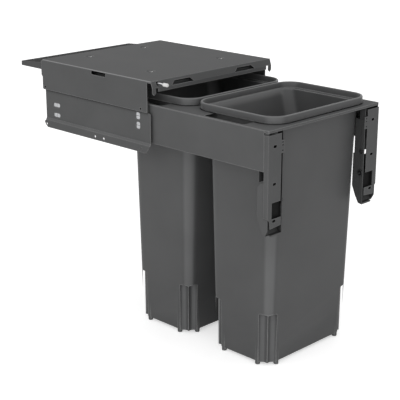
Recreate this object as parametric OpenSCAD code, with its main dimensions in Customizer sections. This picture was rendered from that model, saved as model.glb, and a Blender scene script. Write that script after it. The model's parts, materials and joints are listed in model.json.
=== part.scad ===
// Pull-out waste bin unit for a kitchen base cabinet, with its carrier drawn out.
// A folded steel housing is screwed to the cabinet's side walls. A carrier with
// two hanging buckets runs under it on ball-bearing rails, and the cabinet door
// is screwed to the two brackets at its front.
// X runs from the left wall to the right, Y from front to back, Z up.
// The origin is the centre of the left wall's four outer screw holes.

/* [Cabinet] */
// Inner width between the cabinet's side walls
cabinet_w = 414; // [400:1:520]
// Distance from the cabinet's front edge to the first screw row
first_screw_y = 37; // [32:1:45]
// Distance from the cover's rear edge to the last screw row
last_screw_in = 8; // [7:0.5:12]

/* [Housing] */
// Step between the wall lip and the side plate above it
plate_step = 3; // [2.5:0.1:3.2]
// Sheet thickness of the cover and the side plates
housing_t = 1.5; // [1.2:0.1:1.8]
// Gap between a cabinet wall and the carrier's side
side_gap = 11; // [10:0.5:13]
// Height of the cover's top above the carrier's top
cover_z = 57; // [55:1:70]
// Length of the cover's top from front to back
cover_l = 403; // [400:1:440]
// Depth of the cover's side skirts below its top
skirt_h = 76.5; // [70:0.5:80]
// Distance of the skirts' front edges behind the cover's front edge
skirt_setback = 14; // [10:1:18]
// Outer radius of the cover's long bends
bend_r = 3; // [2:0.5:4]
// Depth of a side plate's outward step below the carrier's top
plate_drop = 98.5; // [98:0.5:102]
// Height of the wall lip under that step
wall_lip_h = 19; // [17:0.5:22]
// Radius of the screw holes in the skirts and wall lips
wall_hole_r = 2.75; // [2:0.05:3.2]

/* [Travel] */
// Distance from the drawn pose to the closed one
pull_out = 350; // [330:1:352]
// Distance that the carrier can still be drawn out
over_travel = 45; // [30:1:50]

/* [Carrier] */
// Height of the carrier's side panels
panel_h = 93; // [93:0.5:94]
// Sheet thickness of the carrier
carrier_t = 1.5; // [1.2:0.1:1.7]
// Height of the small lip around the carrier's front corners
front_lip_h = 6; // [4:0.5:7]
// Length of a finger notch beside a bucket
notch_l = 123; // [90:1:140]
// Width of the strip left outside a finger notch
notch_edge = 6; // [5:0.5:10]

/* [Buckets] */
// Space between the carrier's left side and a bucket's rim
rim_left = 39; // [36:1:44]
// Space between the carrier's right side and a bucket's rim
rim_right = 14; // [12:1:18]
// Space between the carrier's front edge and the front bucket's rim
rim_front = 16; // [14:1:18]
// Depth of a bucket's rim from front to back
rim_d = 251; // [240:1:252]
// Gap between the rims of the two buckets
bucket_gap = 9; // [7:0.5:14]
// Space between the rear bucket's rim and the carrier's rear edge
rim_rear = 10; // [8:1:16]
// Height of the rim above the carrier's top
rim_h = 18; // [14:0.5:18.5]
// Corner radius of the rim
rim_r = 45; // [36:1:50]
// Depth of a bucket below the carrier's top
bucket_h = 581; // [450:1:600]
// Wall thickness of a bucket
bucket_wall = 2.2; // [1.8:0.1:2.6]
// Height of the fluted corners at a bucket's base
flute_h = 125; // [60:1:160]
// Height of the feet under a bucket
foot_h = 6; // [3:0.5:8]

/* [Door brackets] */
// Width of a bracket's front plate
bracket_w = 42; // [38:0.5:44]
// Length of a bracket's straight outer edge
bracket_l = 187; // [180:1:210]
// Sheet thickness of the bracket and its holder
bracket_t = 1.5; // [1.2:0.1:1.8]
// Depth of the bracket's outer flange
flange_d = 13; // [10:0.5:16]
// Width of the holder behind the front plate
holder_w = 48.5; // [47:0.5:52]
// Depth of the holder from front to back
holder_d = 32; // [28:0.5:32]
// Distance between the door screw slots
door_hole_pitch = 84; // [80:0.5:86]
// Half the width of a door screw slot
door_hole_r = 3; // [2.5:0.1:3.5]
// End-to-end length of a door screw slot
door_slot_l = 11; // [8:0.5:13]

/* [Rails] */
// Half the height of a fixed rail
rail_half = 23; // [22:0.5:23]
// Thickness of a rail's flanges
rail_lip_t = 2; // [1.8:0.1:2.2]
// Thickness of a rail's back
rail_back_t = 1.5; // [1.3:0.1:1.6]
// Radius of the bearing balls
ball_r = 2; // [1.9:0.05:2.1]
// Length of a ball cage
cage_l = 150; // [140:1:152]
// Balls in one row of a cage
balls_per_row = 6; // [3:1:8]

/* [Lid and damper] */
// Distance the inner lid can be lifted by what stands in a bucket
lid_lift = 6; // [3:0.5:6]
// Thickness of the inner lid
lid_t = 2; // [1.6:0.1:2.4]
// Reach of the inner lid behind the cover
lid_reach = 114; // [80:1:130]
// Radius of the damper's cylinder
damper_r = 4.5; // [4:0.1:4.7]
// Radius of the damper's white tip
tip_r = 4.3; // [3.6:0.1:4.4]
// Stroke of the damper
stroke = 35; // [25:1:35]

/* [Hidden] */
$fn = 48;
hull_fn = 32;
cut = 1;
run_clear = 0.05;
gap = 0.3;

powder_grey = [0.36, 0.37, 0.37];
zinc = [0.78, 0.79, 0.8];
plastic_grey = [0.30, 0.31, 0.32];
steel = [0.72, 0.73, 0.74];
white = [0.93, 0.93, 0.92];
black = [0.1, 0.1, 0.1];

// Widths across the unit, from the carrier's left side at x = 0
carrier_w = cabinet_w - 2 * side_gap;
bucket_pitch = rim_d + bucket_gap;
carrier_l = rim_front + 2 * rim_d + bucket_gap + rim_rear;
wall_x = -side_gap;
skirt_in_x = wall_x + housing_t;
plate_out_x = wall_x + plate_step;
plate_in_x = plate_out_x + housing_t;
panel_in_x = carrier_t;

// Housing places, from the carrier's front edge in the drawn pose
front_setback = 2;
cover_y = pull_out + front_setback;
cover_rear_y = cover_y + cover_l;
skirt_y = cover_y + skirt_setback;
skirt_overhang = 6;
skirt_rear_y = cover_rear_y + skirt_overhang;
skirt_step = 4;
skirt_step_z = 40;
skirt_chamfer_y = 7;
skirt_chamfer_z = 2.5;
skirt_bottom_z = cover_z - skirt_h;
plate_setback = 6;
plate_end = 5;
plate_l = cover_l - plate_setback - plate_end;
plate_y = cover_y + plate_setback;
plate_rear_y = plate_y + plate_l;
plate_overlap = 28;
joggle_h = 6;
joggle_in = 0.3;
boss_r = 6;
lip_bottom_z = -plate_drop - wall_lip_h;

// Screw rows on the cabinet wall
first_row_y = cover_y + first_screw_y;
last_row_y = cover_rear_y - last_screw_in;
skirt_hole_up = 7;
lip_hole_up = 8.5;
skirt_hole_z = skirt_bottom_z + skirt_hole_up;
lip_hole_z = lip_bottom_z + lip_hole_up;
pattern_y = (first_row_y + last_row_y) / 2;
pattern_z = (skirt_hole_z + lip_hole_z) / 2;
middle_screw_y = 172;
middle_screw_pitch = 32;

// Front band of the cover
band_lean = 5.5;
band_h = 16;
band_lip_h = 9.5;
band_y = cover_y - band_lean;
band_bend_z = cover_z - band_h;
band_bottom_z = band_bend_z - band_lip_h;
tab_w = 11;
tab_h = 33;
tab_point = 5;
tab_notch_w = 8;
grip_slot_x = 52;
grip_slot_w = 72;
grip_slot_lean = 10;
grip_slot_h = 9;
side_slot_share = 0.397;
side_slot_y = cover_l * side_slot_share;
side_slot_l = 52;
side_slot_h = 9;

// Bolts that the inner lid hangs on
bolt_front_half = 121;
bolt_rear_half = 95;
bolt_front_in = 93.5;
bolt_rear_in = 52;
bolt_rows = [[bolt_front_in, bolt_front_half], [cover_l - bolt_rear_in, bolt_rear_half]];
bolt_r = 3;
bolt_head_r = 5.5;
bolt_head_h = 1.6;
bolt_collar_r = 5.5;
bolt_collar_h = 1.5;
cup_r = 12.5;
cup_floor_r = 7;
cup_depth = 2;
cup_wall = 1;

// Inner lid
lid_inset = 19;
lid_spare = 5.5;
lid_front_gap = 6;
lid_below_cover = lid_lift + lid_spare;
lid_top_z = cover_z - lid_below_cover;
lid_side_h = 20.5;
lid_front_h = 12;
lid_fall = 9;
lid_y = cover_y + lid_front_gap;
lid_rear_y = cover_rear_y + lid_reach;
lid_flat_rear_y = cover_rear_y + gap;
lid_x = wall_x + lid_inset;
lid_bottom_z = lid_top_z - lid_side_h;

// Damper under the cover's front left corner
damper_x = 8;
damper_down = 6.5;
damper_z = cover_z - damper_down;
damper_back = 14;
damper_l = 64;
damper_end_t = 12;
damper_rod_r = 2.4;
rod_free_l = 37;
rod_in_l = 14;
tip_l = 14;
damper_y = cover_y + damper_back;
tip_y = damper_y - rod_free_l - tip_l;
tip_hole_clear = 0.4;
damper_block_w = 14;
damper_block_l = 40;
damper_block_y = 5;
damper_block_under = 1.5;

// Rails: u runs from the rail's back towards the carrier's side panel
slide_depth = 14;
groove = 0.8;
race_r = ball_r + run_clear;
cage_room = 1.5;
cage_t = 0.8;
cage_strip_t = 1.1;
cage_end = 0.4;
outer_in = rail_half - rail_lip_t;
row_a_z = outer_in + groove - race_r;
mid_out = row_a_z - race_r + groove;
mid_in = mid_out - rail_lip_t;
row_b_z = mid_in + groove - race_r;
inner_out = row_b_z - race_r + groove;
mid_u = rail_back_t + cage_room;
mid_back_t = 1.2;
row_a_u = mid_u + ball_r;
row_b_back = 4.5;
row_b_u = slide_depth - row_b_back;
outer_lip_u = row_a_u + 2 * ball_r;
mid_end_u = slide_depth - cage_room;
inner_u = row_b_u - ball_r - 2 * cage_t + cage_t;
rail_x = panel_in_x + slide_depth;
rail_up = 0.5;
rail_z = -panel_h + rail_half + rail_up;
rail_gap = 4;
rail_end_gap = 2;
rail_y = pull_out + holder_d + rail_gap;
rail_l = plate_rear_y - rail_end_gap - rail_y;
buffer_l = 3;
end_gap = 0.5;
mid_l = rail_l - buffer_l - 2 * end_gap;
mid_closed_y = rail_y + end_gap;
mid_y = mid_closed_y - pull_out / 2;
carrier_rail_gap = 6;
carrier_rail_y = holder_d + carrier_rail_gap;
carrier_rail_l = mid_l - rail_gap;
cage_closed_y = mid_closed_y + (mid_l - cage_l) / 2;
cage_a_y = cage_closed_y - pull_out / 4;
cage_b_y = cage_closed_y - pull_out * 3 / 4;
ball_pitch = cage_l / balls_per_row;
ball_play = 0.15;
cage_a_u = rail_back_t + (cage_room - cage_t) / 2;
cage_b_u = inner_u - cage_room + (cage_room - cage_t) / 2;
ball_hole_r = ball_r + ball_play;
rivet_r = 2;
rivet_head_r = 3.6;
rivet_head_h = 1.2;
rivet_rows = 3;
rivet_inset = 40;

// Zinc-plated bracket that carries the fixed rail
foot_t = 1.5;
foot_under = 4;
foot_z = -panel_h - foot_under;
leg_top_z = skirt_bottom_z;
hook_depth = 1;
window_h = 17.5;
window_rows_z = [-23, -46];
front_window_y = 42.5;
front_window_l = 13.5;
rear_window_in = 28.5;
rear_window_l = 25;
rear_window_y = rail_y + rail_l - rear_window_in - rear_window_l - cover_y;
rear_window_h = 11;
rear_window_rows_z = [-49.5, -75.5];
hook_edge = 0.6;
window_r = 4.5;
slit = 1;

// Carrier
corner_r = 4;
rim_seat = 5;
opening_r = rim_r - rim_seat;
notch_r = 8;
notch_start = 61;
panel_y = flange_d + gap;
crossbar_inset = 2;
crossbar_h = 20;
rear_clear_x = 20;
rear_clear_z = 42;

// Buckets
rim_w = carrier_w - rim_left - rim_right;
rim_t = 5;
rim_crown = 4;
rim_crown_in = 2;
ledge_t = 2.5;
body_in_left = 10;
body_in_right = 14;
body_in_front = 11;
body_in_rear = 29;
body_clear = 1.5;
top_in_rear = rim_seat + body_clear;
neck_z = 95;
rim_foot_h = 1.2;
rim_foot_in = 3;
taper_left = 11;
taper_right = 14;
taper_front = 16;
taper_rear = 19;
body_r = 34;
base_r = 22;
base_t = 2.5;
base_chamfer = 5;
flute_r = 12.5;
flute_apart = 12;
flute_in = 1;
foot_r = 6;
foot_side = 21.5;
foot_along = 4;
boss_pin_r = 6;
boss_h = 22;
boss_down = 5;
boss_along = 260;
mark_r = 2.5;
mark_h = 0.8;
mark_down = 34;
mark_along = [92, 176];

// Door brackets and their holders
bracket_top = 11;
window_from = 152;
strip_w = 13.5;
tongue_top = 189;
tongue_bottom = 211;
tongue_in = 6;
tongue_over = 3;
door_hole_x = 21.5;
door_hole_down = 26.5;
clip_w = 11;
clip_top = 16;
clip_h = 29;
clip_hole_r = 2;
clip_hole_in = 4.5;
clip_holes = [5, 11.5, 23.5];
holder_top_z = 34;
neck_d = 17;
upper_d = holder_d - 3;
holder_step_z = 119;
holder_round = 18;
holder_low = [198, 221, 239, 241];
holder_back_share = [1, 0.69, 0.36, 0.02];
nose_cut = [[0, 197], [2, 227], [11, 243]];
nose_cut_w = 13;
holder_back_w = 12;
crease_t = 0.6;
crease_d = 10;
nut_t = 3;
nut_y = 3;
nut_d = 10;
screw_low_z = 163;
screw_high_z = 112;
nut_over = 8;
block_x = 17;
block_y = [6, 26];
block_z = [150, 202];
screw_y = 8;
screw_r = 2.5;
screw_low_head_r = 6.5;
screw_high_head_r = 4;
screw_head_h = 3;

// Moves a shape from the carrier's drawn front corner to the part's own frame
module placed() translate([side_gap, -pattern_y, -pattern_z]) children();

// Turns a shape made for the left side into the one for the right side
module on_right() translate([carrier_w, 0, 0]) mirror([1, 0, 0]) children();

// Extrudes an outline drawn in X and Z along Y
module along_y(y0, y1) translate([0, y1, 0]) rotate([90, 0, 0]) linear_extrude(y1 - y0) children();

// Extrudes an outline drawn in Y and Z along X
module along_x(x0, x1) translate([x0, 0, 0]) rotate([90, 0, 90]) linear_extrude(x1 - x0) children();

module box(from, to) translate(from) cube(to - from);

module pin_x(x0, x1, y, z, r) translate([x0, y, z]) rotate([0, 90, 0]) cylinder(r = r, h = x1 - x0);

module pin_y(y0, y1, x, z, r) translate([x, y1, z]) rotate([90, 0, 0]) cylinder(r = r, h = y1 - y0);

module pin_z(z0, z1, x, y, r) translate([x, y, z0]) cylinder(r = r, h = z1 - z0);

module round_rect(from, to, r) {
    translate([from[0] + r, from[1]]) square([to[0] - from[0] - 2 * r, to[1] - from[1]]);
    translate([from[0], from[1] + r]) square([to[0] - from[0], to[1] - from[1] - 2 * r]);
    for (x = [from[0] + r, to[0] - r], y = [from[1] + r, to[1] - r]) translate([x, y]) circle(r);
}

// Housing

module cover_section(x0, x1, top, r) {
    translate([x0 + r, top - r]) circle(r);
    translate([x1 - r, top - r]) circle(r);
    translate([x0 + r, top - r]) square([x1 - x0 - 2 * r, r]);
    translate([x0, skirt_bottom_z - cut]) square([x1 - x0, top - r - skirt_bottom_z + cut]);
}

// Side view of the cover: the top reaches further forward than the skirts
module cover_side() {
    relief_z = cover_z - bend_r - housing_t;
    polygon([
        [skirt_y, skirt_bottom_z], [skirt_y, relief_z], [cover_y, relief_z], [cover_y, cover_z + cut],
        [cover_rear_y, cover_z + cut], [cover_rear_y, cover_z - housing_t], [skirt_rear_y, relief_z],
        [skirt_rear_y, cover_z - skirt_step_z], [skirt_rear_y - skirt_step, cover_z - skirt_step_z - skirt_step],
        [skirt_rear_y - skirt_step, skirt_bottom_z + skirt_chamfer_z],
        [skirt_rear_y - skirt_chamfer_y, skirt_bottom_z]
    ]);
}

module band_side() polygon([
    [cover_y, cover_z], [band_y, band_bend_z], [band_y, band_bottom_z],
    [band_y + housing_t, band_bottom_z], [band_y + housing_t, band_bend_z],
    [cover_y + housing_t, cover_z - housing_t], [cover_y + housing_t, cover_z]
]);

module band_tab() along_y(band_y, band_y + housing_t) polygon([
    [wall_x, band_bend_z + cut], [wall_x + tab_w, band_bend_z + cut],
    [wall_x + tab_w, cover_z - tab_h + tab_point], [wall_x + tab_w / 2, cover_z - tab_h],
    [wall_x, cover_z - tab_h + tab_point]
]);

module grip_slot() along_y(band_y - cut, cover_y) polygon([
    [grip_slot_x, band_bend_z], [grip_slot_x + grip_slot_w, band_bend_z],
    [grip_slot_x + grip_slot_w - grip_slot_lean, band_bend_z + grip_slot_h],
    [grip_slot_x + grip_slot_lean, band_bend_z + grip_slot_h]
]);

module both_sides() {
    children();
    on_right() children();
}

module at_bolts() for (row = bolt_rows, side = [-1, 1])
    translate([carrier_w / 2 + side * row[1], cover_y + row[0], 0]) children();

module housing_cover() color(powder_grey) placed() difference() {
    union() {
        intersection() {
            along_y(cover_y, skirt_rear_y) difference() {
                cover_section(wall_x, wall_x + cabinet_w, cover_z, bend_r);
                cover_section(skirt_in_x, wall_x + cabinet_w - housing_t, cover_z - housing_t, bend_r - housing_t);
            }
            along_x(wall_x - cut, wall_x + cabinet_w + cut) cover_side();
        }
        difference() {
            along_x(wall_x, wall_x + cabinet_w) band_side();
            both_sides() along_y(band_y - cut, cover_y) translate([wall_x - cut, band_bottom_z - cut])
                square([tab_w + tab_notch_w + cut, band_lip_h + cut]);
        }
        both_sides() band_tab();
        at_bolts() translate([0, 0, cover_z - housing_t - cup_depth])
            cylinder(r1 = cup_floor_r + cup_wall, r2 = cup_r + cup_wall, h = cup_depth);
    }
    both_sides() grip_slot();
    both_sides() along_x(wall_x - cut, skirt_in_x + cut) translate([cover_y + side_slot_y, cover_z - bend_r - side_slot_h])
        square([side_slot_l, side_slot_h]);
    both_sides() for (y = [first_row_y, last_row_y]) pin_x(wall_x - cut, skirt_in_x + cut, y, skirt_hole_z, wall_hole_r);
    at_bolts() translate([0, 0, cover_z - cup_depth])
        cylinder(r1 = cup_floor_r, r2 = 2 * cup_r - cup_floor_r, h = 2 * cup_depth);
    at_bolts() pin_z(cover_z - 2 * bend_r, cover_z, 0, 0, bolt_r);
    pin_y(band_y - cut, cover_y + bend_r, damper_x, damper_z, tip_r + tip_hole_clear);
}

// Side view of the plate: cut corners in front, a longer lip behind
module plate_outline() polygon([
    [plate_y, -plate_drop], [plate_y, skirt_bottom_z - plate_setback],
    [plate_y + housing_t, skirt_bottom_z - housing_t], [skirt_y, skirt_bottom_z],
    [skirt_y + housing_t, skirt_bottom_z + plate_overlap], [plate_rear_y - housing_t, skirt_bottom_z + plate_overlap],
    [plate_rear_y, skirt_bottom_z], [plate_rear_y, -plate_drop],
    [plate_rear_y + plate_setback, -plate_drop - wall_lip_h / 4], [plate_rear_y + housing_t, lip_bottom_z + wall_lip_h / 3],
    [plate_rear_y - wall_lip_h / 3, lip_bottom_z], [skirt_y + plate_setback, lip_bottom_z],
    [skirt_y, lip_bottom_z + wall_lip_h / 3]
]);

// Front view of the plate: it leans out to the wall and goes on as a lip
module plate_section() polygon([
    [plate_out_x, cover_z], [plate_out_x, -plate_drop + joggle_h], [wall_x, -plate_drop], [wall_x, lip_bottom_z - cut],
    [skirt_in_x, lip_bottom_z - cut], [skirt_in_x, -plate_drop - joggle_in], [plate_in_x, -plate_drop + joggle_h - joggle_in],
    [plate_in_x, cover_z]
]);

module windows(x0, x1, edge) along_x(x0, x1) {
    for (z = window_rows_z) window_hole(cover_y + front_window_y, z - window_h, front_window_l, window_h, edge);
    for (z = rear_window_rows_z) window_hole(cover_y + rear_window_y, z - rear_window_h, rear_window_l, rear_window_h, edge);
}

module window_hole(y, z, l, h, edge) round_rect([y + edge, z + edge], [y + l - edge, z + h - edge], window_r - edge);

module side_plate() difference() {
    union() {
        intersection() {
            along_x(wall_x - cut, plate_in_x + cut) plate_outline();
            along_y(plate_y - cut, plate_rear_y + 2 * plate_setback) plate_section();
        }
        for (y = [first_row_y, last_row_y]) pin_x(skirt_in_x, plate_in_x, y, skirt_hole_z, boss_r);
    }
    windows(plate_out_x - cut, plate_in_x + cut, 0);
    for (y = [first_row_y, last_row_y]) {
        pin_x(wall_x - cut, skirt_in_x + cut, y, lip_hole_z, wall_hole_r);
        pin_x(skirt_in_x - cut, plate_in_x + cut, y, skirt_hole_z, wall_hole_r);
    }
    for (n = [0, 1]) pin_x(wall_x - cut, skirt_in_x + cut,
        cover_y + middle_screw_y + n * middle_screw_pitch, lip_hole_z, wall_hole_r);
}

module left_side_plate() color(powder_grey) placed() side_plate();
module right_side_plate() color(powder_grey) placed() on_right() side_plate();

// Rails

function rivet_y(start, length, n) = start + rivet_inset + n * (length - 2 * rivet_inset) / (rivet_rows - 1);

module rail_bracket() difference() {
    union() {
        box([plate_in_x, rail_y, foot_z - foot_t], [plate_in_x + foot_t, rail_y + rail_l, leg_top_z]);
        box([plate_in_x, rail_y, foot_z - foot_t], [rail_x + foot_t, rail_y + rail_l, foot_z]);
        box([rail_x, rail_y, foot_z - foot_t], [rail_x + foot_t, rail_y + rail_l, rail_z + rail_half]);
        windows(plate_in_x - hook_depth, plate_in_x, hook_edge);
    }
    hook_slits();
    for (n = [0 : rivet_rows - 1]) pin_x(rail_x - cut, rail_x + foot_t + cut, rivet_y(rail_y, rail_l, n), rail_z, rivet_r);
}

// Slits that part each hooked patch into two hooks
module hook_slits() {
    x0 = plate_in_x - hook_depth - cut;
    for (z = window_rows_z) box(
        [x0, cover_y + front_window_y, z - window_h / 2 - slit / 2],
        [plate_in_x, cover_y + front_window_y + front_window_l, z - window_h / 2 + slit / 2]);
    for (z = rear_window_rows_z) box(
        [x0, cover_y + rear_window_y + rear_window_l / 2 - slit / 2, z - rear_window_h],
        [plate_in_x, cover_y + rear_window_y + rear_window_l / 2 + slit / 2, z]);
}

// Rail sections are drawn from the rail's back in u, and alike up and down
module flanges(u0, u1, z0, z1) for (z = [z0, -z1]) translate([u0, z]) square([u1 - u0, z1 - z0]);

module races(u, z) for (side = [-1, 1]) translate([u, side * z]) circle(race_r);

module at_rail() translate([rail_x, rail_z]) mirror([1, 0]) children();

module outer_section() difference() {
    union() {
        translate([0, -rail_half]) square([rail_back_t, 2 * rail_half]);
        flanges(0, outer_lip_u, outer_in, rail_half);
    }
    races(row_a_u, row_a_z);
}

module middle_section() difference() {
    union() {
        translate([mid_u, -mid_out]) square([mid_back_t, 2 * mid_out]);
        flanges(mid_u, mid_end_u, mid_in, mid_out);
    }
    races(row_a_u, row_a_z);
    races(row_b_u, row_b_z);
}

module inner_section() difference() {
    union() {
        translate([slide_depth - rail_back_t, -inner_out]) square([rail_back_t, 2 * inner_out]);
        flanges(inner_u, slide_depth, inner_out - rail_lip_t, inner_out);
    }
    races(row_b_u, row_b_z);
}

module cage_section(u0, row_u, row_z) {
    translate([u0, -row_z]) square([cage_t, 2 * row_z]);
    flanges(u0, row_u + ball_r - cage_end, row_z - cage_strip_t / 2, row_z + cage_strip_t / 2);
}

module at_balls(start, row_u, row_z) for (n = [0 : balls_per_row - 1], side = [-1, 1])
    translate([rail_x - row_u, start + (n + 0.5) * ball_pitch, rail_z + side * row_z]) children();

module ball_cage(start, u0, row_u, row_z) difference() {
    along_y(start, start + cage_l) at_rail() cage_section(u0, row_u, row_z);
    at_balls(start, row_u, row_z) translate([0, 0, -cage_strip_t]) cylinder(r = ball_hole_r, h = 2 * cage_strip_t);
}

module cabinet_rail() difference() {
    along_y(rail_y, rail_y + rail_l) at_rail() outer_section();
    for (n = [0 : rivet_rows - 1]) pin_x(rail_x - rail_back_t - cut, rail_x + cut, rivet_y(rail_y, rail_l, n), rail_z, rivet_r);
}

module rail_rivets() for (n = [0 : rivet_rows - 1]) {
    y = rivet_y(rail_y, rail_l, n);
    pin_x(rail_x - rail_back_t, rail_x + foot_t, y, rail_z, rivet_r);
    pin_x(rail_x + foot_t, rail_x + foot_t + rivet_head_h, y, rail_z, rivet_head_r);
}

module rail_buffer() along_y(rail_y + rail_l - buffer_l, rail_y + rail_l) at_rail()
    translate([rail_back_t, -outer_in]) square([outer_lip_u - rail_back_t, 2 * outer_in]);

module middle_rail() along_y(mid_y, mid_y + mid_l) at_rail() middle_section();

module carrier_rail() difference() {
    along_y(carrier_rail_y, carrier_rail_y + carrier_rail_l) at_rail() inner_section();
    for (n = [0 : rivet_rows - 1])
        pin_x(panel_in_x - cut, panel_in_x + rail_back_t + cut, rivet_y(carrier_rail_y, carrier_rail_l, n), rail_z, rivet_r);
}

module rail_studs() for (n = [0 : rivet_rows - 1]) {
    y = rivet_y(carrier_rail_y, carrier_rail_l, n);
    pin_x(panel_in_x, panel_in_x + rail_back_t, y, rail_z, rivet_r);
    pin_x(panel_in_x + rail_back_t, panel_in_x + rail_back_t + rivet_head_h, y, rail_z, rivet_head_r);
}

module rear_cage() ball_cage(cage_a_y, cage_a_u, row_a_u, row_a_z);
module front_cage() ball_cage(cage_b_y, cage_b_u, row_b_u, row_b_z);
module rear_ball_set() at_balls(cage_a_y, row_a_u, row_a_z) sphere(ball_r);
module front_ball_set() at_balls(cage_b_y, row_b_u, row_b_z) sphere(ball_r);

module left_rail_bracket() color(zinc) placed() rail_bracket();
module right_rail_bracket() color(zinc) placed() on_right() rail_bracket();
module left_cabinet_rail() color(zinc) placed() cabinet_rail();
module right_cabinet_rail() color(zinc) placed() on_right() cabinet_rail();
module left_rail_rivets() color(steel) placed() rail_rivets();
module right_rail_rivets() color(steel) placed() on_right() rail_rivets();
module left_rail_buffer() color(black) placed() rail_buffer();
module right_rail_buffer() color(black) placed() on_right() rail_buffer();
module left_middle_rail() color(zinc) placed() middle_rail();
module right_middle_rail() color(zinc) placed() on_right() middle_rail();
module left_rear_ball_cage() color(steel) placed() rear_cage();
module right_rear_ball_cage() color(steel) placed() on_right() rear_cage();
module left_rear_balls() color(steel) placed() rear_ball_set();
module right_rear_balls() color(steel) placed() on_right() rear_ball_set();
module left_front_ball_cage() color(steel) placed() front_cage();
module right_front_ball_cage() color(steel) placed() on_right() front_cage();
module left_front_balls() color(steel) placed() front_ball_set();
module right_front_balls() color(steel) placed() on_right() front_ball_set();
module left_carrier_rail() color(zinc) placed() carrier_rail();
module right_carrier_rail() color(zinc) placed() on_right() carrier_rail();
module left_rail_studs() color(steel) placed() rail_studs();
module right_rail_studs() color(steel) placed() on_right() rail_studs();

// Lid and damper

module lid_bolts() color(steel) placed() at_bolts() {
    collar_z = lid_top_z - lid_t - run_clear;
    pin_z(cover_z - cup_depth, cover_z - cup_depth + bolt_head_h, 0, 0, bolt_head_r);
    pin_z(collar_z - bolt_collar_h, cover_z - cup_depth, 0, 0, bolt_r);
    pin_z(collar_z - bolt_collar_h, collar_z, 0, 0, bolt_collar_r);
}

module lid_side(t) {
    front_z = lid_top_z - lid_front_h;
    low = t > 0 ? cut : 0;
    polygon([
        [lid_y + t, front_z - low], [lid_y + t, lid_top_z - t], [lid_flat_rear_y, lid_top_z - t],
        [lid_rear_y - t, lid_top_z - lid_fall - t], [lid_rear_y - t, lid_bottom_z - low],
        [lid_y + lid_side_h, lid_bottom_z - low], [lid_y + lid_front_h, front_z - low]
    ]);
}

module inner_lid() color(plastic_grey) placed() difference() {
    along_x(lid_x, carrier_w - lid_x) lid_side(0);
    along_x(lid_x + lid_t, carrier_w - lid_x - lid_t) lid_side(lid_t);
    at_bolts() pin_z(lid_bottom_z, lid_top_z + cut, 0, 0, bolt_r + 2 * run_clear);
    box([lid_x - cut, lid_y - cut, lid_bottom_z - cut],
        [damper_x + damper_block_w / 2 + lid_t, damper_y + damper_l + lid_t, lid_top_z + cut]);
}

module damper_cylinder() color(steel) placed() difference() {
    pin_y(damper_y, damper_y + damper_l, damper_x, damper_z, damper_r);
    pin_y(damper_y - cut, damper_y + damper_l - damper_end_t, damper_x, damper_z, damper_rod_r + run_clear);
}

module damper_holder() color(plastic_grey) placed() difference() {
    box([damper_x - damper_block_w / 2, damper_y + damper_block_y, damper_z - damper_block_under],
        [damper_x + damper_block_w / 2, damper_y + damper_block_y + damper_block_l, cover_z - housing_t]);
    pin_y(damper_y, damper_y + damper_l, damper_x, damper_z, damper_r);
}

module damper_rod() color(steel) placed()
    pin_y(tip_y + tip_l, damper_y + rod_in_l, damper_x, damper_z, damper_rod_r);

module damper_tip() color(white) placed() {
    pin_y(tip_y + tip_r / 4, tip_y + tip_l, damper_x, damper_z, tip_r);
    translate([damper_x, tip_y + tip_r / 4, damper_z]) rotate([90, 0, 0])
        cylinder(r1 = tip_r, r2 = tip_r * 3 / 4, h = tip_r / 4);
}

// Carrier

function rim_y(n) = rim_front + n * bucket_pitch;

module opening(n) round_rect(
    [rim_left + rim_seat, rim_y(n) + rim_seat],
    [rim_left + rim_w - rim_seat, rim_y(n) + rim_d - rim_seat], opening_r);

module finger_notch(n) round_rect(
    [notch_edge, rim_y(n) + notch_start],
    [rim_left + rim_seat + 2 * notch_r, rim_y(n) + notch_start + notch_l], notch_r);

module carrier_frame() color(powder_grey) placed() {
    translate([0, 0, -carrier_t]) linear_extrude(carrier_t) difference() {
        union() {
            round_rect([0, 0], [carrier_w, carrier_l], corner_r);
            translate([0, corner_r]) square([carrier_w, carrier_l - corner_r]);
        }
        for (n = [0, 1]) {
            opening(n);
            finger_notch(n);
        }
    }
    translate([0, 0, -front_lip_h]) linear_extrude(front_lip_h - carrier_t) difference() {
        round_rect([0, 0], [carrier_w, 2 * flange_d], corner_r);
        round_rect([carrier_t, carrier_t], [carrier_w - carrier_t, 2 * flange_d], corner_r - carrier_t);
        translate([-cut, panel_y - gap]) square([carrier_w + 2 * cut, 2 * flange_d]);
    }
}

module side_panel() box([0, panel_y, -panel_h], [carrier_t, carrier_l, -carrier_t]);

module left_side_panel() color(powder_grey) placed() side_panel();
module right_side_panel() color(powder_grey) placed() on_right() side_panel();

module rear_panel() color(powder_grey) placed() along_y(carrier_l - carrier_t, carrier_l) polygon([
    [carrier_t, -carrier_t], [carrier_t, -rear_clear_z], [rear_clear_x, -rear_clear_z], [rear_clear_x, -panel_h],
    [carrier_w - rear_clear_x, -panel_h], [carrier_w - rear_clear_x, -rear_clear_z],
    [carrier_w - carrier_t, -rear_clear_z], [carrier_w - carrier_t, -carrier_t]
]);

module crossbar() color(powder_grey) placed() {
    y0 = rim_y(0) + rim_d - rim_seat + crossbar_inset;
    y1 = rim_y(1) + rim_seat - crossbar_inset;
    difference() {
        box([carrier_t, y0, -carrier_t - crossbar_h], [carrier_w - carrier_t, y1, -carrier_t]);
        box([carrier_t - cut, y0 + carrier_t, -carrier_t - crossbar_h - cut],
            [carrier_w - carrier_t + cut, y1 - carrier_t, -2 * carrier_t]);
    }
}

// Door brackets

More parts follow.
